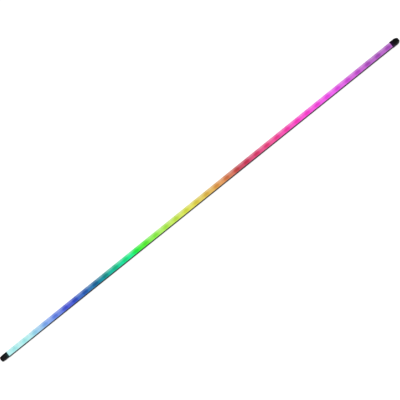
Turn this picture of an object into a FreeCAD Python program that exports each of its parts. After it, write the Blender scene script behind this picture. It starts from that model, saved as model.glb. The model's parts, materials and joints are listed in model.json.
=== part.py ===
import FreeCAD, Part
import math
import os

from FreeCAD import Vector

# LED light tube: a two metre studio tube with a half-round frosted cover over a half-round
# black extrusion. Millimetres. X runs along the tube, +Z is the way the light leaves, and the
# flat back lies on Z = 0. Everything is drawn about the tube's own axis and lifted when saved.

# ---------------------------------------------------------------- whole tube
OVERALL_LENGTH = 2000.0
BODY_LENGTH = 1926.0          # the lit part: cover and back channel
BODY_END = BODY_LENGTH / 2
BODY_RADIUS = 13.0
AXIS_HEIGHT = 12.0            # of the tube's axis above the flat back
FIT_GAP = 0.1                 # between fitted pieces that do not move
PAST = 1.0                    # how far a cutting shape runs past the surface it cuts
SAME_PLACE = 0.01             # two places closer than this are the same

# ---------------------------------------------------------------- back channel
LIP_HALF_WIDTH = 11.1         # inside the two lips that hold the cover
GROOVE_HALF_WIDTH = 11.55     # inside the snap grooves under the lips
LIP_DEPTH = 1.3
GROOVE_DEPTH = 2.5            # lower edge of the snap grooves, below the axis
DECK_TOP = -3.2               # top of the deck that carries the boards
DECK_BOTTOM = -4.8
RAIL_INSIDE = 8.15            # rails that keep the boards in line
RAIL_WIDTH = 0.8
RAIL_HEIGHT = 0.8
RAIL_ROOT = 0.1               # how deep the rails are sunk into the deck to join it
CHAMBER_INSIDE = 7.7          # hollow side chambers
CHAMBER_RADIUS = 11.4
SLOT_MOUTH_HALF = 2.15        # T-slot in the back, for M4 slot nuts
SLOT_HALF_WIDTH = 3.75
SLOT_LIP = 1.3
SLOT_TOP = -7.3
PORT_Y = 5.9                  # screw ports that run the length of the channel
PORT_Z = -6.0
PORT_RADIUS = 1.3

# ---------------------------------------------------------------- cover
COVER_WALL = 1.3
FOOT_INSIDE = 9.9
FOOT_HEIGHT = 1.2
FOOT_OUTSIDE = 12.4
LEG_OUTSIDE = 11.0
LEG_DEPTH = 2.3
BARB_OUTSIDE = 11.4
BARB_HEIGHT = 0.8

# ---------------------------------------------------------------- lights on their boards
CELLS = 38                    # separately coloured cells along the tube
CELLS_PER_BOARD = CELLS // 2
CELL_PITCH = BODY_LENGTH / CELLS
BOARD_HALF_WIDTH = 8.0
BOARD_THICKNESS = 1.0
BOARD_END_GAP = 0.5
BOARD_MIDDLE_GAP = 0.1
TAPE_THICKNESS = 0.2
TAPE_HALF_WIDTH = 7.0
BOARD_TOP = DECK_TOP + TAPE_THICKNESS + BOARD_THICKNESS
CHIP_SIZE = 5.0
CHIP_HEIGHT = 1.6
CHIP_LENS_RADIUS = 2.0
CHIP_LENS_DEPTH = 0.3
CHIPS_PER_CELL = 3
CHIP_SPACING = CELL_PITCH / CHIPS_PER_CELL
DRIVER_OFFSET = CHIP_SPACING / 2        # from the middle of a cell to its driver chip
CAPACITOR_OFFSET = -CHIP_SPACING / 2    # from the middle of a cell to its capacitor
DRIVER_BODY = (5.0, 3.9, 1.4)
DRIVER_LIFT = 0.1             # of the driver's body above the board
DRIVER_LEAD = (0.4, 1.0, 0.3)
DRIVER_LEAD_PITCH = 1.27
DRIVER_LEADS_A_SIDE = 4
CAPACITOR_BODY = (2.0, 1.25, 0.9)
CAPACITOR_Y = 5.0
LINK_HALF_LENGTH = 3.0
LINK_HALF_WIDTH = 1.0
LINK_THICKNESS = 0.4
PAD_Y = 4.0                   # the three solder pads sit at -PAD_Y, 0 and PAD_Y
PAD_X = 960.5

# ---------------------------------------------------------------- end caps
CAP_WALL = 1.6
CAP_FLAT_INSIDE = -(AXIS_HEIGHT - CAP_WALL)
END_WALL = 3.2
CAVITY_END_RADIUS = 8.6
CAP_RIM_ROUND = 0.3           # of the cap's edge against the body
# radius of the cap, where its nose starts to narrow, where it ends and how wide it is there,
# and how its shoulder and its end are rounded
LEFT_CAP = {"radius": 12.7, "nose_start": 985.0, "nose_end": 999.0, "end_radius": 10.8,
            "shoulder_round": 25.0, "end_round": 2.8}
RIGHT_CAP = {"radius": 14.2, "nose_start": 987.0, "nose_end": 997.4, "end_radius": 10.4,
             "shoulder_round": 6.0, "end_round": 1.4}

GASKET_THICKNESS = 1.0
PLATE_THICKNESS = 6.0
PLATE_START = BODY_END + GASKET_THICKNESS
PLATE_END = PLATE_START + PLATE_THICKNESS
PLATE_FLAT = CAP_FLAT_INSIDE + FIT_GAP
WINDOW_HALF_WIDTH = 7.0       # opening in gasket and plate that the wires pass through
WINDOW_BOTTOM = -1.6
WINDOW_TOP = 6.0

SCREW_RADIUS = 1.25           # M2.5
SCREW_HOLE_RADIUS = 1.4
SCREW_HEAD_RADIUS = 2.25
SCREW_HEAD_HEIGHT = 1.7
SCREW_HEAD_ROUND = 0.55
SCREW_KEY_RADIUS = 0.85
SCREW_KEY_DEPTH = 1.0
PLATE_SCREW_REACH = 8.0       # how far the screws enter the channel
CAP_SCREW_X = 967.0
CAP_SCREW_TIP = -7.4
SCREW_TIP_ROOM = 0.5          # left beyond the tip of the cap's screw
CAP_SCREW_HEAD_DEPTH = 1.2

# ---------------------------------------------------------------- sockets
FLANGE_RADIUS = 7.6
FLANGE_THICKNESS = 1.0
SHELL_RADIUS = 6.0
SHELL_LENGTH = 14.0           # from the face of the flange
BORE_RADIUS = 5.0
BORE_DEPTH = 9.0
INSERT_RADIUS = 4.4
INSERT_LENGTH = 6.5
NOTCH_HALF_WIDTH = 0.6
NOTCH_DEPTH = 1.0
NOTCH_LENGTH = 1.0
CONTACT_OFFSET = 1.9
CONTACT_RADIUS = 0.9
CONTACT_HOLE_RADIUS = 0.55
CONTACT_HOLE_DEPTH = 4.0
CONTACT_TAIL = 1.5            # beyond the back of the insert
SHELL_HOLE_RADIUS = 6.1
ORING_SECTION = 0.45
ORING_RADIUS = 6.85
ORING_GROOVE_DEPTH = 0.9
NUT_ACROSS_FLATS = 14.0
NUT_THICKNESS = 2.5
LEFT_FACE = OVERALL_LENGTH / 2
RIGHT_FACE = RIGHT_CAP["nose_end"] + FLANGE_THICKNESS

# ---------------------------------------------------------------- dust plug, right end
PLUG_HEAD_RADIUS = 7.9
PLUG_HEAD_ROUND = 0.6
PLUG_STEM_RADIUS = 4.7
PLUG_STEM_LENGTH = 7.5
PLUG_RIBS = 3
PLUG_FIRST_RIB = 1.0          # from the head to the first rib
PLUG_RIB_RADIUS = 4.92
PLUG_RIB_WIDTH = 0.8
PLUG_RIB_PITCH = 2.2

# ---------------------------------------------------------------- mode button, left end
BUTTON_X = -978.0
BUTTON_RADIUS = 2.8
BUTTON_HOLE_RADIUS = 3.05
BUTTON_TOP = 12.95
BUTTON_ROUND = 0.5
BUTTON_FLANGE_RADIUS = 3.9
BUTTON_FLANGE_BOTTOM = 9.5
BUTTON_FLANGE_TOP = 10.2
PLUNGER_RADIUS = 1.2
PLUNGER_BOTTOM = 7.9
PLUNGER_HOLE_RADIUS = 1.35
PLUNGER_HOLE_BOTTOM = 7.25
SWITCH_HALF_WIDTH = 2.25
SWITCH_TOP = 8.4
CONTROL_BOARD_X = (-985.6, -972.4)
CONTROL_BOARD_Y = (6.0, 7.0)
CONTROL_BOARD_HALF_HEIGHT = 6.0
CONTROL_CHIP_X = (-981.5, -974.5)
CONTROL_CHIP_Z = (-5.2, -2.6)
CONTROL_CHIP_HEIGHT = 1.1
CONTROL_RAIL_Y = (4.9, 8.1)
CONTROL_RAIL_INSIDE = 5.4

# ---------------------------------------------------------------- wires
WIRE_RADIUS = 0.55
WIRE_BEND = 1.5
CONTROL_OUT_X = -974.0        # where the wires leave the control board for the light boards
OUTLET_HEIGHT = 1.0
OUTLET_TURN_X = 973.0
OUTLET_LEAD = 3.0             # straight run into the right socket's contacts
# for each wire: which contact (y and z sign) it has in the left and right sockets, where it turns
# to the control board, its height from there to the light board, and its pad on the light boards
WIRES = {
    "wire_positive": {"left": (1, 1), "turn_x": -980.5, "height": 4.2, "pad": 1, "right": (1, 1)},
    "wire_negative": {"left": (1, -1), "turn_x": -980.5, "height": 1.0, "pad": -1, "right": (-1, 1)},
    "wire_data": {"left": (-1, 1), "turn_x": -978.0, "height": 2.6, "pad": 0, "right": (1, -1)},
}

ALONG = Vector(1, 0, 0)


# ================================================================ drawing helpers
def box(x_span, y_span, z_span):
    """A block between two values of x, of y and of z."""
    size = [span[1] - span[0] for span in (x_span, y_span, z_span)]
    return Part.makeBox(size[0], size[1], size[2], Vector(x_span[0], y_span[0], z_span[0]))


def rod(radius, x_start, x_end, y=0.0, z=0.0):
    """A round bar along the tube."""
    return Part.makeCylinder(radius, x_end - x_start, Vector(x_start, y, z), ALONG)


def flat_backed(radius, x_start, x_end, flat):
    """A round bar along the tube with its underside cut flat at the height given."""
    return rod(radius, x_start, x_end).common(
        box((x_start, x_end), (-radius, radius), (flat, radius)))


def turned(points):
    """Turn an outline about the tube's axis. points are (x, radius), first and last on the axis."""
    path = [Vector(x, 0, radius) for x, radius in points]
    outline = Part.Face(Part.makePolygon(path + [path[0]]))
    return outline.revolve(Vector(0, 0, 0), ALONG, 360)


def rounded(shape, x, size):
    """Round the circular edges that lie at x."""
    edges = [e for e in shape.Edges if e.Closed and abs(e.CenterOfMass.x - x) < SAME_PLACE]
    return shape.makeFillet(size, edges)


def both_sides(shape):
    """The shape and its mirror image across the tube's middle plane, y = 0."""
    return [shape, shape.mirror(Vector(0, 0, 0), Vector(0, 1, 0))]


def to_left(shape):
    """Pieces of the left end are drawn at the right end and mirrored."""
    return shape.mirror(Vector(0, 0, 0), ALONG)


def group(solids):
    """Separate solids saved together as one node."""
    return Part.makeCompound(solids)


def save(name, shape):
    shape = shape.copy()
    shape.translate(Vector(0, 0, AXIS_HEIGHT))
    shape.exportStep("parts/" + name + ".step")


# ================================================================ body
def back_channel():
    """Half-round extrusion with a deck for the boards, side chambers, ports and a T-slot."""
    span = (-BODY_END, BODY_END)
    long_span = (-BODY_END - PAST, BODY_END + PAST)
    body = flat_backed(BODY_RADIUS, *span, -AXIS_HEIGHT)
    body = body.common(box(span, (-BODY_RADIUS, BODY_RADIUS), (-AXIS_HEIGHT, 0)))
    cuts = [
        box(long_span, (-LIP_HALF_WIDTH, LIP_HALF_WIDTH), (DECK_TOP, PAST)),
        box(long_span, (-GROOVE_HALF_WIDTH, GROOVE_HALF_WIDTH), (-GROOVE_DEPTH, -LIP_DEPTH)),
        box(long_span, (-SLOT_MOUTH_HALF, SLOT_MOUTH_HALF), (-AXIS_HEIGHT - PAST, SLOT_TOP)),
        box(long_span, (-SLOT_HALF_WIDTH, SLOT_HALF_WIDTH), (-AXIS_HEIGHT + SLOT_LIP, SLOT_TOP)),
    ]
    chamber = rod(CHAMBER_RADIUS, *long_span).common(
        box(long_span, (CHAMBER_INSIDE, BODY_RADIUS), (-AXIS_HEIGHT, DECK_BOTTOM)))
    cuts += both_sides(chamber)
    cuts += both_sides(rod(PORT_RADIUS, *long_span, PORT_Y, PORT_Z))
    body = body.cut(cuts)
    rail = box(span, (RAIL_INSIDE, RAIL_INSIDE + RAIL_WIDTH), (DECK_TOP - RAIL_ROOT, DECK_TOP + RAIL_HEIGHT))
    return body.fuse(both_sides(rail)).removeSplitter()


def diffuser_cover():
    """Half-round frosted cover with two legs that snap under the channel's lips."""
    span = (-BODY_END, BODY_END)
    upper_half = box(span, (-BODY_RADIUS, BODY_RADIUS), (0, BODY_RADIUS))
    shell = rod(BODY_RADIUS, *span).common(upper_half)
    shell = shell.cut(rod(BODY_RADIUS - COVER_WALL, -BODY_END - PAST, BODY_END + PAST))
    foot = box(span, (FOOT_INSIDE, FOOT_OUTSIDE), (0, FOOT_HEIGHT))
    leg = box(span, (FOOT_INSIDE, LEG_OUTSIDE), (-LEG_DEPTH, 0))
    barb = box(span, (FOOT_INSIDE, BARB_OUTSIDE), (-LEG_DEPTH, -LEG_DEPTH + BARB_HEIGHT))
    side = foot.fuse([leg, barb])
    return shell.fuse(both_sides(side)).removeSplitter()


# ================================================================ boards and lights
def board_span(side):
    """Where a board lies along the tube. side is -1 for left and 1 for right."""
    near = side * BOARD_MIDDLE_GAP
    far = side * (BODY_END - BOARD_END_GAP)
    return min(near, far), max(near, far)


def light_board(side):
    half = BOARD_HALF_WIDTH
    return box(board_span(side), (-half, half), (BOARD_TOP - BOARD_THICKNESS, BOARD_TOP))


def thermal_tape(side):
    half = TAPE_HALF_WIDTH
    return box(board_span(side), (-half, half), (DECK_TOP, DECK_TOP + TAPE_THICKNESS))


def cell_centres(side):
    first = 0 if side < 0 else CELLS_PER_BOARD
    return [-BODY_END + CELL_PITCH * (first + i + 0.5) for i in range(CELLS_PER_BOARD)]


def light_chips(side):
    half = CHIP_SIZE / 2
    chip = box((-half, half), (-half, half), (BOARD_TOP, BOARD_TOP + CHIP_HEIGHT))
    lens_floor = Vector(0, 0, BOARD_TOP + CHIP_HEIGHT - CHIP_LENS_DEPTH)
    chip = chip.cut(Part.makeCylinder(CHIP_LENS_RADIUS, CHIP_LENS_DEPTH + PAST, lens_floor))
    first = -(CHIPS_PER_CELL - 1) / 2 * CHIP_SPACING
    places = [x + first + i * CHIP_SPACING for x in cell_centres(side) for i in range(CHIPS_PER_CELL)]
    return group([chip.translated(Vector(x, 0, 0)) for x in places])


def pixel_driver():
    """One driver chip with four leads a side, sitting on the board at x = 0."""
    length, width, height = DRIVER_BODY
    lead_length, lead_reach, lead_height = DRIVER_LEAD
    body = box((-length / 2, length / 2), (-width / 2, width / 2),
               (BOARD_TOP + DRIVER_LIFT, BOARD_TOP + DRIVER_LIFT + height))
    leads = []
    for i in range(DRIVER_LEADS_A_SIDE):
        x = (i - (DRIVER_LEADS_A_SIDE - 1) / 2) * DRIVER_LEAD_PITCH
        reach = width / 2 + lead_reach
        leads.append(box((x - lead_length / 2, x + lead_length / 2), (-reach, reach),
                         (BOARD_TOP, BOARD_TOP + lead_height)))
    return body.fuse(leads)


def pixel_drivers(side):
    driver = pixel_driver()
    return group([driver.translated(Vector(x + DRIVER_OFFSET, 0, 0)) for x in cell_centres(side)])


def board_capacitors(side):
    length, width, height = CAPACITOR_BODY
    body = box((-length / 2, length / 2), (CAPACITOR_Y - width / 2, CAPACITOR_Y + width / 2),
               (BOARD_TOP, BOARD_TOP + height))
    return group([body.translated(Vector(x + CAPACITOR_OFFSET, 0, 0)) for x in cell_centres(side)])


def board_links():
    """Three soldered bridges that carry power and data from one board to the next."""
    links = []
    for y in (-PAD_Y, 0, PAD_Y):
        links.append(box((-LINK_HALF_LENGTH, LINK_HALF_LENGTH), (y - LINK_HALF_WIDTH, y + LINK_HALF_WIDTH),
                         (BOARD_TOP, BOARD_TOP + LINK_THICKNESS)))
    return group(links)


# ================================================================ ends
def cap_inside_radius(cap):
    return cap["radius"] - CAP_WALL


def end_cap(cap, left_standing=()):
    """Round cap with a flat back and a nose that narrows to the socket's flange. The shapes in
    left_standing stay solid where they reach into the hollow."""
    radius = cap["radius"]
    end_x = cap["nose_end"]
    body = turned([(BODY_END, 0), (BODY_END, radius), (cap["nose_start"], radius),
                   (end_x, cap["end_radius"]), (end_x, 0)])
    body = rounded(body, cap["nose_start"], cap["shoulder_round"])
    body = rounded(body, end_x, cap["end_round"])
    body = rounded(body, BODY_END, CAP_RIM_ROUND)
    body = body.common(box((BODY_END, end_x), (-radius, radius), (-AXIS_HEIGHT, radius)))

    inside = cap_inside_radius(cap)
    cavity_end = end_x - END_WALL
    cavity = turned([(BODY_END - PAST, 0), (BODY_END - PAST, inside), (cap["nose_start"], inside),
                     (cavity_end, CAVITY_END_RADIUS), (cavity_end, 0)])
    cavity = cavity.common(box((BODY_END - PAST, end_x), (-radius, radius), (CAP_FLAT_INSIDE, radius)))
    for shape in left_standing:
        cavity = cavity.cut(shape)

    groove_floor = end_x - ORING_GROOVE_DEPTH
    groove = rod(ORING_RADIUS + ORING_SECTION, groove_floor, end_x + PAST)
    groove = groove.cut(rod(ORING_RADIUS - ORING_SECTION, groove_floor - PAST, end_x + 2 * PAST))
    socket_hole = rod(SHELL_HOLE_RADIUS, cavity_end - PAST, end_x + PAST)
    screw_hole = Part.makeCylinder(SCREW_HOLE_RADIUS, CAP_WALL + 2 * PAST,
                                   Vector(CAP_SCREW_X, 0, -AXIS_HEIGHT - PAST))
    return body.cut([cavity, groove, socket_hole, screw_hole, cap_screw_sink()])


def cap_screw_sink():
    """The conical seat of the cap's screw, with its mouth in the flat back."""
    return Part.makeCone(SCREW_HEAD_RADIUS, SCREW_RADIUS, CAP_SCREW_HEAD_DEPTH,
                         Vector(CAP_SCREW_X, 0, -AXIS_HEIGHT))


def control_rails():
    """Two grooved rails that hold the edges of the control board, drawn at the right end."""
    span = (-CONTROL_BOARD_X[1], -CONTROL_BOARD_X[0])
    half = CONTROL_BOARD_HALF_HEIGHT + FIT_GAP
    slot = box((span[0] - PAST, span[1] + PAST),
               (CONTROL_BOARD_Y[0] - FIT_GAP, CONTROL_BOARD_Y[1] + FIT_GAP), (-half, half))
    upper = box(span, CONTROL_RAIL_Y, (CONTROL_RAIL_INSIDE, BODY_RADIUS))
    lower = box(span, CONTROL_RAIL_Y, (-BODY_RADIUS, -CONTROL_RAIL_INSIDE))
    return [upper.cut(slot), lower.cut(slot)]


def left_end_cap():
    """The left cap also holds the control board and has the button's hole."""
    cap = to_left(end_cap(LEFT_CAP, control_rails()))
    return cap.cut(button_rod(BUTTON_HOLE_RADIUS, BUTTON_FLANGE_TOP, BODY_RADIUS + PAST))


def end_gasket(cap):
    outline = flat_backed(cap_inside_radius(cap) - FIT_GAP, BODY_END, PLATE_START, PLATE_FLAT)
    return outline.cut(end_openings())


def end_plate(cap):
    """Plate that closes the body. Two screws hold it to the channel, and it holds the cap."""
    outline = flat_backed(cap_inside_radius(cap) - FIT_GAP, PLATE_START, PLATE_END, PLATE_FLAT)
    hole_start = PLATE_FLAT - PAST
    hole_end = CAP_SCREW_TIP + SCREW_TIP_ROOM
    screw_hole = Part.makeCylinder(SCREW_RADIUS + FIT_GAP / 2, hole_end - hole_start,
                                   Vector(CAP_SCREW_X, 0, hole_start))
    return outline.cut(end_openings() + [screw_hole])


def end_openings():
    """Wire window and screw holes, cut through both the gasket and the plate."""
    span = (BODY_END - PAST, PLATE_END + PAST)
    window = box(span, (-WINDOW_HALF_WIDTH, WINDOW_HALF_WIDTH), (WINDOW_BOTTOM, WINDOW_TOP))
    return [window] + both_sides(rod(SCREW_HOLE_RADIUS, *span, PORT_Y, PORT_Z))


def plate_screws():
    """Two pan-head screws through the plate into the channel's ports."""
    screw = rod(SCREW_RADIUS, BODY_END - PLATE_SCREW_REACH, PLATE_END, PORT_Y, PORT_Z)
    head = rod(SCREW_HEAD_RADIUS, PLATE_END, PLATE_END + SCREW_HEAD_HEIGHT, PORT_Y, PORT_Z)
    top = PLATE_END + SCREW_HEAD_HEIGHT
    head = rounded(head, top, SCREW_HEAD_ROUND)
    key = hexagon(SCREW_KEY_RADIUS, top - SCREW_KEY_DEPTH, top + PAST)
    key.translate(Vector(0, PORT_Y, PORT_Z))
    return group(both_sides(screw.fuse(head).removeSplitter().cut(key)))


def hexagon(corner_radius, x_start, x_end):
    """A six-sided bar along the tube."""
    corners = []
    for i in range(7):
        angle = math.radians(60 * i)
        corners.append(Vector(x_start, corner_radius * math.cos(angle), corner_radius * math.sin(angle)))
    return Part.Face(Part.makePolygon(corners)).extrude(Vector(x_end - x_start, 0, 0))


def cap_screw():
    """Countersunk screw through the cap's flat back into the end plate."""
    bottom = Vector(CAP_SCREW_X, 0, -AXIS_HEIGHT)
    head = Part.makeCone(SCREW_HEAD_RADIUS, SCREW_RADIUS, CAP_SCREW_HEAD_DEPTH, bottom)
    shank = Part.makeCylinder(SCREW_RADIUS, CAP_SCREW_TIP + AXIS_HEIGHT, bottom)
    key = hexagon(SCREW_KEY_RADIUS, 0, SCREW_KEY_DEPTH)
    key.rotate(Vector(0, 0, 0), Vector(0, 1, 0), -90)
    key.translate(bottom)
    return head.fuse(shank).removeSplitter().cut(key)


# ================================================================ sockets
def socket_shell(face_x):
    shell = rod(SHELL_RADIUS, face_x - SHELL_LENGTH, face_x)
    flange = rod(FLANGE_RADIUS, face_x - FLANGE_THICKNESS, face_x)
    bore = rod(BORE_RADIUS, face_x - BORE_DEPTH, face_x + PAST)
    seat = rod(INSERT_RADIUS + FIT_GAP / 2, face_x - SHELL_LENGTH - PAST, face_x)
    return shell.fuse(flange).removeSplitter().cut([bore, seat])


def contact_places():
    offset = CONTACT_OFFSET
    return [(y, z) for y in (-offset, offset) for z in (-offset, offset)]


def insert_back(face_x):
    return face_x - BORE_DEPTH - INSERT_LENGTH


def socket_insert(face_x):
    """Insulator at the bottom of the bore, with a seat for each contact and a key notch."""
    front = face_x - BORE_DEPTH
    insert = rod(INSERT_RADIUS, insert_back(face_x), front)
    seats = [rod(CONTACT_RADIUS, insert_back(face_x) - PAST, front + PAST, y, z)
             for y, z in contact_places()]
    notch = box((front - NOTCH_LENGTH, front + PAST), (-NOTCH_HALF_WIDTH, NOTCH_HALF_WIDTH),
                (INSERT_RADIUS - NOTCH_DEPTH, INSERT_RADIUS + PAST))
    return insert.cut(seats + [notch])


def socket_contacts(face_x):
    front = face_x - BORE_DEPTH
    contacts = []
    for y, z in contact_places():
        pin = rod(CONTACT_RADIUS, insert_back(face_x) - CONTACT_TAIL, front, y, z)
        hole = rod(CONTACT_HOLE_RADIUS, front - CONTACT_HOLE_DEPTH, front + PAST, y, z)
        contacts.append(pin.cut(hole))
    return group(contacts)


def contact_end(face_x):
    return insert_back(face_x) - CONTACT_TAIL


def socket_oring(flange_back):
    return Part.makeTorus(ORING_RADIUS, ORING_SECTION, Vector(flange_back - ORING_SECTION, 0, 0), ALONG)


def socket_nut(wall_inside):
    corner_radius = NUT_ACROSS_FLATS / 2 / math.cos(math.radians(30))
    nut = hexagon(corner_radius, wall_inside - NUT_THICKNESS, wall_inside)
    return nut.cut(rod(SHELL_RADIUS + FIT_GAP / 2, wall_inside - NUT_THICKNESS - PAST, wall_inside + PAST))


def dust_plug():
    """Soft plug in the right socket: a head to pull on and a ribbed stem."""
    head_x = OVERALL_LENGTH / 2
    head = rod(PLUG_HEAD_RADIUS, RIGHT_FACE, head_x)
    head = rounded(head, head_x, PLUG_HEAD_ROUND)
    stem = rod(PLUG_STEM_RADIUS, RIGHT_FACE - PLUG_STEM_LENGTH, RIGHT_FACE)
    ribs = []
    for i in range(PLUG_RIBS):
        rib_end = RIGHT_FACE - PLUG_FIRST_RIB - i * PLUG_RIB_PITCH
        ribs.append(rod(PLUG_RIB_RADIUS, rib_end - PLUG_RIB_WIDTH, rib_end))
    return head.fuse([stem] + ribs).removeSplitter()


# ================================================================ control parts, left end
def control_board():
    half = CONTROL_BOARD_HALF_HEIGHT
    return box(CONTROL_BOARD_X, CONTROL_BOARD_Y, (-half, half))


def control_chip():
    top = CONTROL_BOARD_Y[1]
    return box(CONTROL_CHIP_X, (top, top + CONTROL_CHIP_HEIGHT), CONTROL_CHIP_Z)


def button_rod(radius, y_start, y_end):
    """A round bar on the button's own axis, which runs across the tube."""
    return Part.makeCylinder(radius, y_end - y_start, Vector(BUTTON_X, y_start, 0), Vector(0, 1, 0))


def mode_switch():
    half = SWITCH_HALF_WIDTH
    body = box((BUTTON_X - half, BUTTON_X + half), (CONTROL_BOARD_Y[1], SWITCH_TOP), (-half, half))
    return body.cut(button_rod(PLUNGER_HOLE_RADIUS, PLUNGER_HOLE_BOTTOM, SWITCH_TOP + PAST))


def switch_plunger():
    return button_rod(PLUNGER_RADIUS, PLUNGER_BOTTOM, BUTTON_FLANGE_BOTTOM)


def mode_button():
    cap = button_rod(BUTTON_RADIUS, BUTTON_FLANGE_TOP, BUTTON_TOP)
    rim = [e for e in cap.Edges if abs(e.CenterOfMass.y - BUTTON_TOP) < SAME_PLACE]
    cap = cap.makeFillet(BUTTON_ROUND, rim)
    return cap.fuse(button_rod(BUTTON_FLANGE_RADIUS, BUTTON_FLANGE_BOTTOM, BUTTON_FLANGE_TOP))


# ================================================================ wires
def wire(points):
    """A round wire through the points: straight runs joined by round bends."""
    edges = []
    here = points[0]
    for before, corner, after in zip(points, points[1:], points[2:]):
        way_in = (corner - before).normalize()
        way_out = (after - corner).normalize()
        half_turn = way_in.getAngle(way_out) / 2
        reach = WIRE_BEND * math.tan(half_turn)
        bend_start = corner - way_in * reach
        bend_end = corner + way_out * reach
        inward = (way_out - way_in).normalize()
        middle = corner + inward * WIRE_BEND * (1 / math.cos(half_turn) - 1)
        edges.append(Part.makeLine(here, bend_start))
        edges.append(Part.Arc(bend_start, middle, bend_end).toShape())
        here = bend_end
    edges.append(Part.makeLine(here, points[-1]))
    ring = Part.Wire(Part.makeCircle(WIRE_RADIUS, points[0], points[1] - points[0]))
    return Part.Wire(edges).makePipeShell([ring], True, True)


def wire_set(route):
    """One colour of wire: socket to control board, on to the left board, and out at the right."""
    board_y = CONTROL_BOARD_Y[0]
    pad_y = route["pad"] * PAD_Y
    left_y, left_z = (sign * CONTACT_OFFSET for sign in route["left"])
    right_y, right_z = (sign * CONTACT_OFFSET for sign in route["right"])
    inlet = wire([
        Vector(-contact_end(LEFT_FACE), left_y, left_z),
        Vector(route["turn_x"], left_y, left_z),
        Vector(route["turn_x"], board_y, left_z),
    ])
    feed = wire([
        Vector(CONTROL_OUT_X, board_y, route["height"]),
        Vector(CONTROL_OUT_X, pad_y, route["height"]),
        Vector(-PAD_X, pad_y, route["height"]),
        Vector(-PAD_X, pad_y, BOARD_TOP),
    ])
    tail = contact_end(RIGHT_FACE)
    outlet = wire([
        Vector(PAD_X, pad_y, BOARD_TOP),
        Vector(PAD_X, pad_y, OUTLET_HEIGHT),
        Vector(OUTLET_TURN_X, pad_y, OUTLET_HEIGHT),
        Vector(tail - OUTLET_LEAD, right_y, right_z),
        Vector(tail, right_y, right_z),
    ])
    return group([inlet, feed, outlet])


# ================================================================ all nodes
def main():
    os.makedirs("parts", exist_ok=True)
    save("back_channel", back_channel())
    save("diffuser_cover", diffuser_cover())
    save("board_links", board_links())
    for name, side in (("left", -1), ("right", 1)):
        save("led_board_" + name, light_board(side))
        save("thermal_tape_" + name, thermal_tape(side))
        save("led_chips_" + name, light_chips(side))
        save("pixel_drivers_" + name, pixel_drivers(side))
        save("board_capacitors_" + name, board_capacitors(side))

    save("end_cap_left", left_end_cap())
    save("end_cap_right", end_cap(RIGHT_CAP))
    ends = (("left", LEFT_CAP, LEFT_FACE, to_left), ("right", RIGHT_CAP, RIGHT_FACE, lambda shape: shape))
    for name, cap, face_x, place in ends:
        save("end_gasket_" + name, place(end_gasket(cap)))
        save("end_plate_" + name, place(end_plate(cap)))
        save("plate_screws_" + name, place(plate_screws()))
        save("cap_screw_" + name, place(cap_screw()))
        save("socket_shell_" + name, place(socket_shell(face_x)))
        save("socket_insert_" + name, place(socket_insert(face_x)))
        save("socket_contacts_" + name, place(socket_contacts(face_x)))
        save("socket_oring_" + name, place(socket_oring(cap["nose_end"])))
        save("socket_nut_" + name, place(socket_nut(cap["nose_end"] - END_WALL)))

    save("dust_plug", dust_plug())
    save("control_board", control_board())
    save("control_chip", control_chip())
    save("mode_switch", mode_switch())
    save("switch_plunger", switch_plunger())
    save("mode_button", mode_button())
    for name, route in WIRES.items():
        save(name, wire_set(route))


main()
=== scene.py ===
import colorsys
import json
import math

import bmesh
import bpy
from mathutils import Matrix, Vector


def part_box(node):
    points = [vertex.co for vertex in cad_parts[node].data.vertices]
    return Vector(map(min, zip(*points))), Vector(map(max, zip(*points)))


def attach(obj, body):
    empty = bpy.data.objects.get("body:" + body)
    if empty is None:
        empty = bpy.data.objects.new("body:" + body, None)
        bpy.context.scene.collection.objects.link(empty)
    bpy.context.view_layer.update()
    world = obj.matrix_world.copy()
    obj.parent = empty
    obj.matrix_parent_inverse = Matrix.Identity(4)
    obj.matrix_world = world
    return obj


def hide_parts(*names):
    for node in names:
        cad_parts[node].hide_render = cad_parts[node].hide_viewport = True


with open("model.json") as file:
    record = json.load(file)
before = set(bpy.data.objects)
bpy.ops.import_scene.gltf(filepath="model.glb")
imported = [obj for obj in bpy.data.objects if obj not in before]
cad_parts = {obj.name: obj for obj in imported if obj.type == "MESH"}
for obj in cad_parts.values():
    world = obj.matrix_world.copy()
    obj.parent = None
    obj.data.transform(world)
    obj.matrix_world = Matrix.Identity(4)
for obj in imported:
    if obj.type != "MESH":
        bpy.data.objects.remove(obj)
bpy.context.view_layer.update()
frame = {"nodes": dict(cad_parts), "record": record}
MM = 0.001

# ---------------------------------------------------------------- measures taken from the frame
COVER_LOW, COVER_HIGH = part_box("diffuser_cover")
CHANNEL_LOW, CHANNEL_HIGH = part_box("back_channel")
BODY_START = COVER_LOW.x
BODY_END = COVER_HIGH.x
BODY_LENGTH = BODY_END - BODY_START
AXIS_HEIGHT = CHANNEL_HIGH.z                # the tube's axis above the flat back
BODY_RADIUS = COVER_HIGH.z - AXIS_HEIGHT
OVERALL_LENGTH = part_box("dust_plug")[1].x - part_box("socket_shell_left")[0].x

CELLS = 38                                  # separately coloured cells along the tube
CELL_PITCH = BODY_LENGTH / CELLS

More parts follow.
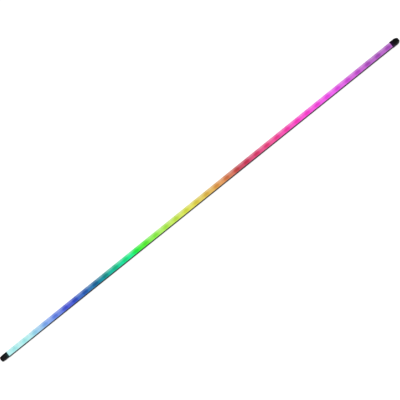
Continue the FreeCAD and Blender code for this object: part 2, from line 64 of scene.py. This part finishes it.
# ---------------------------------------------------------------- the cover's light
CELL_PEAK = 0.16                            # where in a cell the light is brightest
DIM_LEVEL = 0.92                            # brightness between the lights
BRIGHT_LEVEL = 0.94                         # brightness over the lights
LIGHT_PITCH = CELL_PITCH / 3                # three lights to a cell
SPOT_LEVEL = 0.05                           # how strongly single lights show through
DIM_GAMMA = 1.36                            # above 1 the colour is purer, below 1 it is paler
BRIGHT_GAMMA = 0.93
OVER_LIGHTS = (-0.95, 0.75)                 # the part of the cell wave that carries dim over to bright
CROWN_PURITY = 0.3                          # share of the purer colour left straight over the lights
WASH_AND_SHEEN_SHARES = (0.6, 1.2)                    # share of the white wash and painted sheen between the lights and over them
SPECKLE_LEVELS = (0.97, 1.03)
COVER_PAINTED_GLOW_DIM = 0.7                           # how much darker the cover's base colour is than its light; the base colour is a painted glow in the light's hue
SEAM_LEVEL = 0.45                           # share of the brightness left at the seam
TOP_WASH_AND_SHEEN = 0.16                             # white mixed into the light on top: the lamp's own wash-out plus a painted sheen of the studio light

# where an effect starts and ends round the cover, in degrees from straight over the lights
WASH_AND_SHEEN_SPAN = (40, 2)
FLANK_START_SPAN = (5, 38)
FLANK_END_SPAN = (84, 56)
SPOT_SPAN = (85, 20)
SEAM_SPAN = (74, 94)

# ---------------------------------------------------------------- moulded plastic
SHADE_SCALE = 220.0                         # slow unevenness of the shade
SCUFF_SCALE = 1600.0                        # fine scuffs, longer along the tube
SCUFF_STRETCH = (0.4, 1, 1)
SCUFF_DEPTH_MM = 0.006
CAP_GRAIN_MM = 0.4
CAP_PAINTED_GLOW_REACH = 0.016                      # how far past the body the caps carry a painted glow in the light's colour
CAP_PAINTED_GLOW_LEFT = (0.005, 0.04, 0.04, 1.0)
CAP_PAINTED_GLOW_RIGHT = (0.034, 0.003, 0.06, 1.0)

# ---------------------------------------------------------------- body cross-sections, mm from the axis
COVER_WALL = 1.3
FOOT_INSIDE = 9.9                           # the cover's snap legs
FOOT_OUTSIDE = 11.0
FOOT_TOP = 1.2
FOOT_LOW = -2.3
HOOK_OUTSIDE = 11.4
HOOK_TOP = -1.5
WALL_INSIDE = 11.1                          # the channel's side walls and the grooves for the legs
GROOVE_OUTSIDE = 11.55
GROOVE_LOW = -2.5
GROOVE_TOP = -1.3
DECK_TOP = -3.2                             # the deck for the LED boards and its two rails
RAIL_INSIDE = 8.15
RAIL_OUTSIDE = 8.95
RAIL_TOP = -2.4
SLOT_MOUTH = 2.15                           # half widths of the T-slot
SLOT_HALF_WIDTH = 3.75
SLOT_LIP = 1.3
SLOT_ROOF = -7.3
CHAMBER_INSIDE = 7.7
CHAMBER_TOP = -4.8
CHAMBER_RADIUS = 11.4
PORT_CENTRE = (5.9, -6.0)
PORT_RADIUS = 1.3
PORT_OPEN_STEPS = 5                         # steps of the port's round outline closed by one straight edge
SEAM = 0.25                                 # small bevel each side of the seam
ARC_STEP = 3.0                              # degrees between points of a round outline
SHARP_ANGLE = 25                            # degrees past which an edge is shaded sharp

# ---------------------------------------------------------------- camera and light
CAMERA_FROM_UP = 48.0                       # degrees between the light's way out and the camera
TUBE_SLOPE = 38.9                           # degrees the tube climbs across the picture
TUBE_SHARE = 1.27675                        # length of the tube against the width of the picture
LENS = 200.0
SENSOR = 36.0
CLIP_END = 100.0
FLOOR_SIZE = 14.0
FLOOR_COLOUR = (0.86, 0.86, 0.86)
FLOOR_DROP_MM = 0.02                        # floor under the flat back, so the two faces never share a plane
FLOOR_GLOW = 0.80                           # the floor is a lit white table
WORLD_STRENGTH = 0.24
KEY_PLACE = (-1.5, -2.0, 4.0)
KEY_SIZE = 3.0
KEY_POWER = 45.0
TARGET_SHIFT_MM = 1.5                       # how far the picture's centre lies to the near side of the axis

# ---------------------------------------------------------------- the rainbow effect
# Named colours of the effect, each as hue in degrees, saturation and brightness.
ICE = (180, 0.25, 0.90)
SKY = (220, 0.45, 0.90)
BLUE = (235, 0.65, 0.80)
TEAL = (195, 0.90, 0.60)
SEA_GREEN = (155, 0.90, 0.90)
GREEN = (120, 0.80, 0.90)
LIME = (90, 0.60, 0.90)
YELLOW = (60, 0.60, 0.85)
ORANGE = (30, 0.60, 0.85)
RED = (350, 0.65, 0.75)
PINK = (335, 0.65, 0.90)
MAGENTA = (315, 0.70, 0.95)
ORCHID = (300, 0.60, 0.90)
VIOLET = (290, 0.50, 0.75)
# the colours in order, each with its cell counted from the left end
RAINBOW = [(0, ICE), (2, ICE), (4, SKY), (6, BLUE), (9, TEAL), (12, SEA_GREEN), (13, GREEN), (15, LIME),
           (18, YELLOW), (21, ORANGE), (23, RED), (26, PINK), (29, MAGENTA), (32, ORCHID), (36, VIOLET)]


# ================================================================ small helpers
def linear(value):
    """One sRGB channel, 0-1, as linear light."""
    return value / 12.92 if value <= 0.04045 else ((value + 0.055) / 1.055) ** 2.4


def light_colour(hue, saturation, brightness):
    """A colour of the rainbow effect as linear light."""
    return tuple(linear(v) for v in colorsys.hsv_to_rgb(hue / 360, saturation, brightness)) + (1.0,)


class Nodes:
    """A material's node tree with short ways to add and join nodes."""

    def __init__(self, name):
        self.material = bpy.data.materials.new(name)
        self.material.use_nodes = True
        self.tree = self.material.node_tree
        self.tree.nodes.clear()
        self.shader = self.add("ShaderNodeBsdfPrincipled")
        output = self.add("ShaderNodeOutputMaterial")
        self.join(self.shader.outputs["BSDF"], output.inputs["Surface"])

    def add(self, kind, **settings):
        node = self.tree.nodes.new(kind)
        for key, value in settings.items():
            setattr(node, key, value)
        return node

    def join(self, source, target):
        self.tree.links.new(source, target)

    def math(self, operation, a, b=None, c=None):
        node = self.add("ShaderNodeMath", operation=operation)
        for socket, value in zip(node.inputs, (a, b, c)):
            if value is None:
                continue
            if isinstance(value, (int, float)):
                socket.default_value = value
            else:
                self.join(value, socket)
        return node.outputs[0]

    def smooth(self, value, low, high, out_low=0.0, out_high=1.0):
        """Smoothly carry a value from the range low-high to the range out_low-out_high."""
        node = self.add("ShaderNodeMapRange", interpolation_type="SMOOTHSTEP")
        self.join(value, node.inputs["Value"])
        node.inputs["From Min"].default_value = low
        node.inputs["From Max"].default_value = high
        node.inputs["To Min"].default_value = out_low
        node.inputs["To Max"].default_value = out_high
        return node.outputs["Result"]

    def around(self, angle, span, out_low=0.0, out_high=1.0):
        """The same for an angle in radians, from the first to the second angle of a span in degrees."""
        return self.smooth(angle, math.radians(span[0]), math.radians(span[1]), out_low, out_high)

    def mix(self, factor, a, b):
        node = self.add("ShaderNodeMix", data_type="RGBA", blend_type="MIX")
        for socket, value in ((node.inputs[0], factor), (node.inputs[6], a), (node.inputs[7], b)):
            if isinstance(value, (int, float, tuple)):
                socket.default_value = value
            else:
                self.join(value, socket)
        return node.outputs[2]

    def gamma(self, colour, power):
        node = self.add("ShaderNodeGamma")
        self.join(colour, node.inputs["Color"])
        self.join(power, node.inputs["Gamma"])
        return node.outputs[0]

    def place(self):
        """The point's place in the frame, in metres."""
        return self.add("ShaderNodeTexCoord").outputs["Object"]

    def place_parts(self):
        node = self.add("ShaderNodeSeparateXYZ")
        self.join(self.place(), node.inputs[0])
        return node.outputs

    def stretched(self, scale):
        node = self.add("ShaderNodeMapping")
        node.inputs["Scale"].default_value = scale
        self.join(self.place(), node.inputs["Vector"])
        return node.outputs[0]

    def noise(self, scale, stretch=(1, 1, 1), detail=4.0, roughness=0.55):
        node = self.add("ShaderNodeTexNoise")
        node.inputs["Scale"].default_value = scale
        node.inputs["Detail"].default_value = detail
        node.inputs["Roughness"].default_value = roughness
        self.join(self.stretched(stretch), node.inputs["Vector"])
        return node.outputs["Fac"]

    def grain(self, scale, stretch=(1, 1, 1)):
        node = self.add("ShaderNodeTexVoronoi", feature="SMOOTH_F1")
        node.inputs["Scale"].default_value = scale
        self.join(self.stretched(stretch), node.inputs["Vector"])
        return node.outputs["Distance"]

    def ramp(self, factor, stops):
        node = self.add("ShaderNodeValToRGB")
        self.join(factor, node.inputs[0])
        elements = node.color_ramp.elements
        while len(elements) > 1:
            elements.remove(elements[-1])
        elements[0].position = stops[0][0]
        elements[0].color = stops[0][1]
        for position, colour in stops[1:]:
            elements.new(position).color = colour
        return node.outputs["Color"]

    def bump(self, height, distance, strength=1.0, under=None):
        node = self.add("ShaderNodeBump")
        node.inputs["Strength"].default_value = strength
        node.inputs["Distance"].default_value = distance
        self.join(height, node.inputs["Height"])
        if under is not None:
            self.join(under, node.inputs["Normal"])
        return node.outputs["Normal"]

    def set(self, **values):
        names = {"colour": "Base Color", "rough": "Roughness", "metal": "Metallic", "normal": "Normal",
                 "coat": "Coat Weight", "emission": "Emission Color", "strength": "Emission Strength",
                 "specular": "Specular IOR Level"}
        for key, value in values.items():
            socket = self.shader.inputs[names[key]]
            if isinstance(value, (int, float, tuple)):
                socket.default_value = value
            else:
                self.join(value, socket)


# ================================================================ materials
def moulded_plastic(name, colour, rough=0.45, grain_mm=0.35, depth_mm=0.02, patch=0.25):
    """Plastic with a fine moulded grain, small scuffs and slightly uneven shade."""
    n = Nodes(name)
    shade = n.noise(SHADE_SCALE, detail=5.0)
    scuffs = n.noise(SCUFF_SCALE, SCUFF_STRETCH, detail=6.0)
    dark = tuple(c * (1 - patch) for c in colour) + (1.0,)
    light = tuple(min(c * (1 + patch) + 0.002, 1.0) for c in colour) + (1.0,)
    n.set(colour=n.mix(n.smooth(shade, 0.35, 0.65), dark, light))
    n.set(rough=n.smooth(scuffs, 0.35, 0.75, rough - 0.08, rough + 0.1))
    texture = n.grain(1000.0 / grain_mm)
    n.set(normal=n.bump(texture, depth_mm * MM, 0.5, n.bump(scuffs, SCUFF_DEPTH_MM * MM, 0.3)))
    return n.material


def cap_plastic(name):
    """The caps' black plastic. Close to the lit body the tube's light colour is painted into it as a painted
    glow.
    """
    n = Nodes(name)
    x = n.place_parts()[0]
    grain = n.grain(1000.0 / CAP_GRAIN_MM)
    scuffs = n.noise(SCUFF_SCALE, SCUFF_STRETCH, detail=6.0)
    shade = n.noise(SHADE_SCALE, detail=5.0)
    black = n.mix(n.smooth(shade, 0.35, 0.65), (0.004, 0.004, 0.005, 1.0), (0.008, 0.008, 0.009, 1.0))
    # painted glow: the tube's light colour painted into the caps' colour close to the lit body
    beyond = n.math("SUBTRACT", n.math("ABSOLUTE", x), BODY_END)
    painted_glow_mask = n.smooth(beyond, CAP_PAINTED_GLOW_REACH, 0.0)
    painted_glow_colour = n.mix(n.math("GREATER_THAN", x, 0.0), CAP_PAINTED_GLOW_LEFT, CAP_PAINTED_GLOW_RIGHT)
    n.set(colour=n.mix(painted_glow_mask, black, painted_glow_colour))
    n.set(rough=n.smooth(scuffs, 0.35, 0.75, 0.34, 0.5), specular=0.15)
    n.set(normal=n.bump(grain, 0.02 * MM, 0.5, n.bump(scuffs, SCUFF_DEPTH_MM * MM, 0.3)))
    return n.material


def soft_rubber(name, colour):
    n = Nodes(name)
    dust = n.noise(350.0, detail=6.0)
    pale = tuple(c * 1.8 + 0.004 for c in colour) + (1.0,)
    n.set(colour=n.mix(n.smooth(dust, 0.5, 0.8), colour + (1.0,), pale))
    n.set(rough=n.smooth(dust, 0.3, 0.7, 0.62, 0.8))
    n.set(normal=n.bump(n.noise(2500.0, detail=3.0), 0.01 * MM, 0.5))
    return n.material


def drawn_metal(name, colour, rough=0.35, metal=1.0, along=(0.02, 1, 1), line_depth_mm=0.006):
    """Metal with fine lines along one direction and a slightly uneven polish."""
    n = Nodes(name)
    lines = n.noise(2200.0, along, detail=5.0, roughness=0.6)
    cloud = n.noise(40.0, detail=2.0)
    dark = tuple(c * 0.8 for c in colour) + (1.0,)
    n.set(colour=n.mix(n.smooth(lines, 0.3, 0.7), dark, colour + (1.0,)))
    streaks = n.smooth(lines, 0.25, 0.75, rough - 0.08, rough + 0.1)
    n.set(rough=n.math("ADD", streaks, n.smooth(cloud, 0.3, 0.7, -0.03, 0.04)))
    n.set(metal=metal)
    n.set(normal=n.bump(lines, line_depth_mm * MM, 0.5))
    return n.material


def anodised(name):
    """Black anodised extrusion: die lines along the tube under a satin black skin."""
    n = Nodes(name)
    lines = n.noise(1500.0, (0.01, 1, 1), detail=6.0, roughness=0.65)
    pores = n.noise(5000.0, detail=2.0)
    dark = (0.006, 0.006, 0.007, 1.0)
    light = (0.018, 0.018, 0.02, 1.0)
    n.set(colour=n.mix(n.smooth(lines, 0.3, 0.75), dark, light))
    n.set(rough=n.smooth(lines, 0.3, 0.7, 0.36, 0.5))
    n.set(metal=0.4, specular=0.25)
    n.set(normal=n.bump(pores, 0.004 * MM, 0.4, n.bump(lines, 0.008 * MM, 0.5)))
    return n.material


def frosted_cover(name):
    """Frosted cover lit from inside. The light's colour runs along the tube, each cell is a little
    brighter over its lights, and the light is washed out to white on top: partly the lamp's own
    wash-out over its lights, partly a painted sheen of the studio light. The base colour is a
    painted glow in the light's hue."""
    n = Nodes(name)
    x, y, z = n.place_parts()
    along = n.math("DIVIDE", n.math("SUBTRACT", x, BODY_START), BODY_LENGTH)
    hue = n.ramp(along, [(cell / CELLS, light_colour(*colour)) for cell, colour in RAINBOW])

    peak = BODY_START + CELL_PITCH * CELL_PEAK
    wave = n.math("COSINE", n.math("MULTIPLY", n.math("SUBTRACT", x, peak), 2 * math.pi / CELL_PITCH))
    over_lights = n.smooth(wave, *OVER_LIGHTS)
    height = n.math("SUBTRACT", z, AXIS_HEIGHT)
    angle = n.math("ABSOLUTE", n.math("ARCTAN2", y, height))
    wash_and_sheen_mask = n.around(angle, WASH_AND_SHEEN_SPAN)
    flank = n.math("MULTIPLY", n.around(angle, FLANK_START_SPAN), n.around(angle, FLANK_END_SPAN))
    on_flank = n.smooth(flank, 0.0, 1.0, CROWN_PURITY, 1.0)
    pure = n.math("MULTIPLY", n.math("SUBTRACT", 1.0, over_lights), on_flank)

    spots = n.math("COSINE", n.math("MULTIPLY", n.math("SUBTRACT", x, BODY_START + LIGHT_PITCH / 2),
                                    2 * math.pi / LIGHT_PITCH))
    spots = n.math("MULTIPLY", spots, n.around(angle, SPOT_SPAN))

    # white on top: partly the lamp's own wash-out over its lights, partly a painted sheen of the studio
    # light
    wash_and_sheen_low, wash_and_sheen_high = (share * TOP_WASH_AND_SHEEN for share in WASH_AND_SHEEN_SHARES)
    wash_and_sheen = n.math("MULTIPLY", wash_and_sheen_mask, n.smooth(over_lights, 0.0, 1.0, wash_and_sheen_low, wash_and_sheen_high))
    colour = n.mix(wash_and_sheen, n.gamma(hue, n.smooth(pure, 0.0, 1.0, BRIGHT_GAMMA, DIM_GAMMA)),
                   (1.0, 1.0, 1.0, 1.0))
    level = n.smooth(over_lights, 0.0, 1.0, DIM_LEVEL, BRIGHT_LEVEL)
    level = n.math("MULTIPLY", level, n.math("MULTIPLY_ADD", spots, SPOT_LEVEL, 1.0))
    speckle = n.noise(1400.0, detail=3.0)
    level = n.math("MULTIPLY", level, n.smooth(speckle, 0.3, 0.7, *SPECKLE_LEVELS))
    level = n.math("MULTIPLY", level, n.around(angle, SEAM_SPAN, 1.0, SEAM_LEVEL))
    # painted glow: the light's hue, darkened, painted into the cover's base colour
    n.set(colour=n.mix(COVER_PAINTED_GLOW_DIM, hue, (0.0, 0.0, 0.0, 1.0)))
    n.set(rough=n.smooth(speckle, 0.3, 0.7, 0.42, 0.52))
    n.set(specular=0.15, emission=colour, strength=level)
    n.set(normal=n.bump(n.noise(4000.0, detail=2.0), 0.006 * MM, 0.35))
    return n.material


def board_mask(name, colour):
    """Solder mask over copper: faint tracks show as lower and higher glossy bands."""
    n = Nodes(name)
    tracks = n.add("ShaderNodeTexBrick")
    tracks.inputs["Scale"].default_value = 220.0
    tracks.inputs["Mortar Size"].default_value = 0.06
    n.join(n.stretched((0.5, 1, 1)), tracks.inputs["Vector"])
    darker = tuple(c * 0.86 for c in colour) + (1.0,)
    n.set(colour=n.mix(tracks.outputs["Fac"], colour + (1.0,), darker))
    n.set(rough=n.smooth(n.noise(300.0), 0.3, 0.7, 0.28, 0.4), coat=0.3)
    n.set(normal=n.bump(tracks.outputs["Fac"], 0.03 * MM, 0.6))
    return n.material


def fired_ceramic(name):
    n = Nodes(name)
    specks = n.noise(4000.0, detail=3.0)
    n.set(colour=n.mix(n.smooth(specks, 0.4, 0.6), (0.32, 0.23, 0.14, 1.0), (0.5, 0.38, 0.25, 1.0)))
    n.set(rough=n.smooth(specks, 0.3, 0.7, 0.45, 0.65))
    return n.material


MATERIALS = {
    "black_aluminium": anodised("black_aluminium"),
    "frosted_cover": frosted_cover("frosted_cover"),
    "board_white": board_mask("board_white", (0.8, 0.81, 0.78)),
    "board_green": board_mask("board_green", (0.02, 0.16, 0.06)),
    "thermal_tape": soft_rubber("thermal_tape", (0.55, 0.57, 0.6)),
    "led_package": moulded_plastic("led_package", (0.85, 0.85, 0.8), rough=0.35, patch=0.05),
    "chip_black": moulded_plastic("chip_black", (0.02, 0.02, 0.022), rough=0.5, grain_mm=0.15),
    "capacitor_tan": fired_ceramic("capacitor_tan"),
    "solder_tin": drawn_metal("solder_tin", (0.72, 0.72, 0.74), rough=0.3),
    "cap_black": cap_plastic("cap_black"),
    "gasket_rubber": soft_rubber("gasket_rubber", (0.02, 0.02, 0.02)),
    "plate_black": moulded_plastic("plate_black", (0.02, 0.02, 0.022), rough=0.55, grain_mm=0.3),
    "screw_steel": drawn_metal("screw_steel", (0.56, 0.56, 0.58), rough=0.28),
    "screw_black": drawn_metal("screw_black", (0.03, 0.03, 0.032), rough=0.42, metal=0.7),
    "socket_nickel": drawn_metal("socket_nickel", (0.16, 0.16, 0.165), rough=0.3, along=(1, 0.3, 0.3)),
    "insert_black": moulded_plastic("insert_black", (0.03, 0.03, 0.033), rough=0.5, grain_mm=0.2),
    "contact_gold": drawn_metal("contact_gold", (0.9, 0.62, 0.22), rough=0.2),
    "switch_steel": drawn_metal("switch_steel", (0.6, 0.6, 0.6), rough=0.3),
    "button_black": soft_rubber("button_black", (0.03, 0.03, 0.033)),
    "plug_rubber": soft_rubber("plug_rubber", (0.007, 0.007, 0.008)),
    "wire_red": moulded_plastic("wire_red", (0.5, 0.02, 0.02), rough=0.4, grain_mm=0.5, patch=0.1),
    "wire_black": moulded_plastic("wire_black", (0.02, 0.02, 0.02), rough=0.4, grain_mm=0.5, patch=0.1),
    "wire_green": moulded_plastic("wire_green", (0.02, 0.3, 0.07), rough=0.4, grain_mm=0.5, patch=0.1),
}


def dress_cad_nodes():
    """Give every node of the frame the material its slot names."""
    for part in frame["record"]["subparts"]:
        node = frame["nodes"][part["node"]]
        node.data.materials.clear()
        node.data.materials.append(MATERIALS[part["material_slot"]])


# ================================================================ body pieces
def arc(radius, start, end, centre=(0.0, 0.0)):
    """Points of an arc in the tube's cross-section, in mm, angles in degrees from +Y towards +Z."""
    steps = max(2, round(abs(end - start) / ARC_STEP))
    points = []
    for i in range(steps + 1):
        angle = math.radians(start + (end - start) * i / steps)
        points.append((centre[0] + radius * math.cos(angle), centre[1] + radius * math.sin(angle)))
    return points


def mirrored(points):
    """The same points on the left side, in the order that carries the outline on."""
    return [(-y, z) for y, z in reversed(points)]


def extruded(name, outline, holes=()):
    """A long piece with the same cross-section all the way, closed at both ends."""
    mesh = bpy.data.meshes.new(name)
    build = bmesh.new()
    rims = {BODY_START: [], BODY_END: []}
    for loop in [outline] + list(holes):
        rings = {}
        for x in rims:
            rings[x] = [build.verts.new((x, y * MM, AXIS_HEIGHT + z * MM)) for y, z in loop]
        count = len(loop)
        start = rings[BODY_START]
        end = rings[BODY_END]
        for i in range(count):
            j = (i + 1) % count
            build.faces.new((start[i], start[j], end[j], end[i]))
        for x in rims:
            rims[x] += [build.edges.get((rings[x][i], rings[x][(i + 1) % count])) for i in range(count)]
    for edges in rims.values():
        bmesh.ops.triangle_fill(build, edges=edges, use_beauty=True)
    bmesh.ops.recalc_face_normals(build, faces=build.faces)
    build.to_mesh(mesh)
    build.free()
    mesh.shade_smooth()
    mesh.set_sharp_from_angle(angle=math.radians(SHARP_ANGLE))
    piece = bpy.data.objects.new(name, mesh)
    bpy.context.scene.collection.objects.link(piece)
    return piece


def cover_piece():
    """The frosted half-round cover, with its snap legs and a fine bevel along each seam."""
    radius = BODY_RADIUS / MM
    inner = radius - COVER_WALL
    seam_angle = math.degrees(math.asin(SEAM / radius))
    foot_angle = math.degrees(math.asin(FOOT_TOP / inner))
    right = [(FOOT_INSIDE, FOOT_TOP), (FOOT_INSIDE, FOOT_LOW), (HOOK_OUTSIDE, FOOT_LOW),
             (HOOK_OUTSIDE, HOOK_TOP), (FOOT_OUTSIDE, HOOK_TOP), (FOOT_OUTSIDE, 0.0), (radius - SEAM, 0.0)]
    outer = arc(radius, seam_angle, 180 - seam_angle)
    left = mirrored(right)
    inside = arc(inner, 180 - foot_angle, foot_angle)
    return extruded("cover", right + outer + left + inside)


def channel_piece():
    """The black half-round extrusion, with its deck, rails, side chambers, ports and T-slot."""
    radius = BODY_RADIUS / MM
    back = -AXIS_HEIGHT / MM
    seam_angle = math.degrees(math.asin(SEAM / radius))
    flat_angle = math.degrees(math.asin(back / radius))
    right = [(0.0, DECK_TOP), (RAIL_INSIDE, DECK_TOP), (RAIL_INSIDE, RAIL_TOP), (RAIL_OUTSIDE, RAIL_TOP),
             (RAIL_OUTSIDE, DECK_TOP), (WALL_INSIDE, DECK_TOP), (WALL_INSIDE, GROOVE_LOW),
             (GROOVE_OUTSIDE, GROOVE_LOW), (GROOVE_OUTSIDE, GROOVE_TOP), (WALL_INSIDE, GROOVE_TOP),
             (WALL_INSIDE, 0.0), (radius - SEAM, 0.0)]
    right += arc(radius, -seam_angle, flat_angle)
    lip = back + SLOT_LIP
    right += [(SLOT_MOUTH, back), (SLOT_MOUTH, lip), (SLOT_HALF_WIDTH, lip), (SLOT_HALF_WIDTH, SLOT_ROOF),
              (0.0, SLOT_ROOF)]
    chamber_low = -math.degrees(math.acos(CHAMBER_INSIDE / CHAMBER_RADIUS))
    chamber_high = math.degrees(math.asin(CHAMBER_TOP / CHAMBER_RADIUS))
    chamber = [(CHAMBER_INSIDE, CHAMBER_TOP)] + arc(CHAMBER_RADIUS, chamber_low, chamber_high)
    port = arc(PORT_RADIUS, 0, 360 - ARC_STEP * PORT_OPEN_STEPS, PORT_CENTRE)
    holes = []
    for hole in (chamber, port):
        holes += [hole, [(-y, z) for y, z in hole]]
    return extruded("channel", right + mirrored(right[1:-1]), holes)


def build_body():
    for piece, node, slot in ((cover_piece(), "diffuser_cover", "frosted_cover"),
                              (channel_piece(), "back_channel", "black_aluminium")):
        piece.data.materials.append(MATERIALS[slot])
        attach(piece, "tube")
        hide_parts(node)


# ================================================================ stage
def build_floor():
    mesh = bpy.data.meshes.new("floor")
    half = FLOOR_SIZE / 2
    low = -FLOOR_DROP_MM * MM
    corners = [(-half, -half, low), (half, -half, low), (half, half, low), (-half, half, low)]
    mesh.from_pydata(corners, [], [(0, 1, 2, 3)])
    floor = bpy.data.objects.new("floor", mesh)
    bpy.context.scene.collection.objects.link(floor)
    n = Nodes("floor")
    n.set(colour=FLOOR_COLOUR + (1.0,), rough=0.9, specular=0.1)
    n.set(emission=(1.0, 1.0, 1.0, 1.0), strength=FLOOR_GLOW)
    mesh.materials.append(n.material)


def build_world():
    world = bpy.data.worlds.new("studio")
    world.use_nodes = True
    background = world.node_tree.nodes["Background"]
    background.inputs["Color"].default_value = (1.0, 1.0, 1.0, 1.0)
    background.inputs["Strength"].default_value = WORLD_STRENGTH
    bpy.context.scene.world = world


def add_area_light(name, place, size, power):
    light = bpy.data.lights.new(name, "AREA")
    light.shape = "SQUARE"
    light.size = size
    light.energy = power
    lamp = bpy.data.objects.new(name, light)
    bpy.context.scene.collection.objects.link(lamp)
    lamp.location = place
    lamp.rotation_euler = (-Vector(place)).to_track_quat("-Z", "Y").to_euler()


def build_camera():
    tilt = math.radians(CAMERA_FROM_UP)
    towards = Vector((0.0, -math.sin(tilt), math.cos(tilt)))
    across = Vector((1.0, 0.0, 0.0))
    up = towards.cross(across)
    roll = math.radians(TUBE_SLOPE)
    right = across * math.cos(roll) - up * math.sin(roll)
    top = across * math.sin(roll) + up * math.cos(roll)
    data = bpy.data.cameras.new("camera")
    data.lens = LENS
    data.sensor_width = SENSOR
    data.clip_end = CLIP_END
    camera = bpy.data.objects.new("camera", data)
    bpy.context.scene.collection.objects.link(camera)
    distance = OVERALL_LENGTH / TUBE_SHARE * LENS / SENSOR
    target = Vector((0.0, 0.0, AXIS_HEIGHT)) - up * TARGET_SHIFT_MM * MM
    turn = Matrix((right, top, towards)).transposed()
    camera.matrix_world = Matrix.Translation(target + towards * distance) @ turn.to_4x4()
    bpy.context.scene.camera = camera


dress_cad_nodes()
build_body()
build_floor()
build_world()
add_area_light("key", KEY_PLACE, KEY_SIZE, KEY_POWER)
build_camera()
bpy.context.scene.view_settings.view_transform = "Standard"
